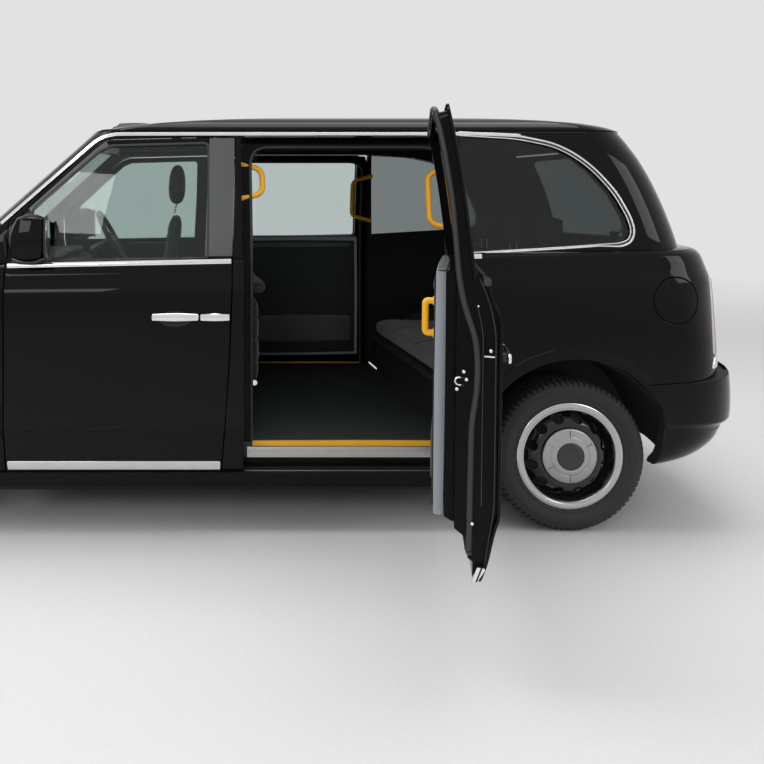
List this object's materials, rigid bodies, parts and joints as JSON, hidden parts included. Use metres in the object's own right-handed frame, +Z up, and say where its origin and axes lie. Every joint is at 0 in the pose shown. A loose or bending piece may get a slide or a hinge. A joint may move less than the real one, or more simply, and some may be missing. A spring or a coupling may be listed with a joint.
{
  "type": "taxi cab",
  "caption": "Purpose-built city taxi cab with opening doors, bonnet, tailgate and charge flap, steered front wheels and a partitioned passenger cabin.",
  "frame": {"origin": "on the ground, on the centre line, midway between the axles", "axes": "+X to the rear, +Y to the cab's right-hand side, +Z up"},
  "size_m": [4.8468, 2.9086, 1.8879],
  "materials": {
    "body_paint": "gloss",
    "glazing": "clear, lightly tinted",
    "black_plastic": "grained",
    "grey_plastic": "grained",
    "bright_trim": "polished",
    "aluminium": "ribbed",
    "yellow_plastic": "smooth",
    "lamp_clear": "clear lens",
    "lamp_red": "red lens",
    "sign_lens": "blank lens",
    "tyre": "worn matt",
    "wheel_steel": "satin",
    "seat_fabric": "woven",
    "bare_steel": "plain",
    "cast_block": "cast"
  },
  "bodies": {
    "cab": {"body_shell": "body_paint", "quarter_windows": "glazing", "windscreen": "glazing", "roof_panel": "body_paint", "roof_sign": "sign_lens", "front_wings": "body_paint", "front_bumper": "body_paint", "cowl_panel": "black_plastic", "headlamps": "lamp_clear", "grille": "bright_trim", "wheel_liners": "black_plastic", "rear_bumper": "body_paint", "tail_lamps": "lamp_red", "floor_pan": "grey_plastic", "drive_battery": "bare_steel", "engine_block": "cast_block", "door_steps": "aluminium", "dashboard": "black_plastic", "driver_seat": "seat_fabric", "luggage_platform": "grey_plastic", "partition": "grey_plastic", "partition_window": "glazing", "tip_up_seats": "seat_fabric", "rear_bench": "seat_fabric", "grab_handles": "yellow_plastic", "front_suspension": "bare_steel", "rear_suspension": "bare_steel", "exhaust": "bare_steel"},
    "bonnet": {"bonnet": "body_paint"},
    "tailgate": {"tailgate": "body_paint", "rear_window": "glazing"},
    "charge_flap": {"charge_flap": "body_paint"},
    "steering_wheel": {"steering_wheel": "black_plastic"},
    "front_left_door": {"front_left_door": "body_paint", "front_left_glass": "glazing", "front_left_handles": "bright_trim", "front_left_mirror": "body_paint"},
    "rear_left_door": {"rear_left_door": "body_paint", "rear_left_glass": "glazing", "rear_left_handles": "bright_trim"},
    "front_left_upright": {"front_left_upright": "bare_steel"},
    "front_left_wheel": {"front_left_tyre": "tyre", "front_left_wheel": "wheel_steel"},
    "rear_left_wheel": {"rear_left_tyre": "tyre", "rear_left_wheel": "wheel_steel"},
    "front_right_door": {"front_right_door": "body_paint", "front_right_glass": "glazing", "front_right_handles": "bright_trim", "front_right_mirror": "body_paint"},
    "rear_right_door": {"rear_right_door": "body_paint", "rear_right_glass": "glazing", "rear_right_handles": "bright_trim"},
    "front_right_upright": {"front_right_upright": "bare_steel"},
    "front_right_wheel": {"front_right_tyre": "tyre", "front_right_wheel": "wheel_steel"},
    "rear_right_wheel": {"rear_right_tyre": "tyre", "rear_right_wheel": "wheel_steel"}
  },
  "joints": [
    {"name": "front_left_door_hinge", "type": "hinge", "parent": "cab", "child": "front_left_door", "pos_m": [-1.037, -0.925, 0.75], "axis": [0, 0, -1], "range_deg": [0, 65]},
    {"name": "rear_left_door_hinge", "type": "hinge", "parent": "cab", "child": "rear_left_door", "pos_m": [1.055, -0.932, 0.7], "axis": [0, 0.02, 0.9998], "range_deg": [-71.7, 18.3]},
    {"name": "steer_left", "type": "hinge", "parent": "cab", "child": "front_left_upright", "pos_m": [-1.4925, -0.74, 0.334], "axis": [0, 0, 1], "range_deg": [-40, 40]},
    {"name": "front_left_wheel_spin", "type": "hinge", "parent": "front_left_upright", "child": "front_left_wheel", "pos_m": [-1.4925, -0.795, 0.334], "axis": [0, -1, 0], "continuous": true},
    {"name": "rear_left_wheel_spin", "type": "hinge", "parent": "cab", "child": "rear_left_wheel", "pos_m": [1.4925, -0.795, 0.334], "axis": [0, -1, 0], "continuous": true},
    {"name": "front_right_door_hinge", "type": "hinge", "parent": "cab", "child": "front_right_door", "pos_m": [-1.037, 0.925, 0.75], "axis": [0, 0, 1], "range_deg": [0, 65]},
    {"name": "rear_right_door_hinge", "type": "hinge", "parent": "cab", "child": "rear_right_door", "pos_m": [1.055, 0.932, 0.7], "axis": [0, 0.02, -0.9998], "range_deg": [0, 90]},
    {"name": "steer_right", "type": "hinge", "parent": "cab", "child": "front_right_upright", "pos_m": [-1.4925, 0.74, 0.334], "axis": [0, 0, 1], "range_deg": [-40, 40]},
    {"name": "front_right_wheel_spin", "type": "hinge", "parent": "front_right_upright", "child": "front_right_wheel", "pos_m": [-1.4925, 0.795, 0.334], "axis": [0, -1, 0], "continuous": true},
    {"name": "rear_right_wheel_spin", "type": "hinge", "parent": "cab", "child": "rear_right_wheel", "pos_m": [1.4925, 0.795, 0.334], "axis": [0, -1, 0], "continuous": true},
    {"name": "bonnet_hinge", "type": "hinge", "parent": "cab", "child": "bonnet", "pos_m": [-1.435, 0, 1.145], "axis": [0, 1, 0], "range_deg": [0, 55]},
    {"name": "tailgate_hinge", "type": "hinge", "parent": "cab", "child": "tailgate", "pos_m": [1.985, 0, 1.775], "axis": [0, -1, 0], "range_deg": [0, 85]},
    {"name": "charge_flap_hinge", "type": "hinge", "parent": "cab", "child": "charge_flap", "pos_m": [1.802, -0.925, 1.029], "axis": [0, 0, -1], "range_deg": [0, 95]},
    {"name": "steering_column", "type": "hinge", "parent": "cab", "child": "steering_wheel", "pos_m": [-0.64, 0.39, 1.225], "axis": [0.8829, 0, 0.4695], "range_deg": [-560, 560]}
  ],
  "couplings": [
    {"joint": "steer_right", "follows": "steer_left", "ratio": 1},
    {"joint": "steering_column", "follows": "steer_left", "ratio": 14}
  ]
}
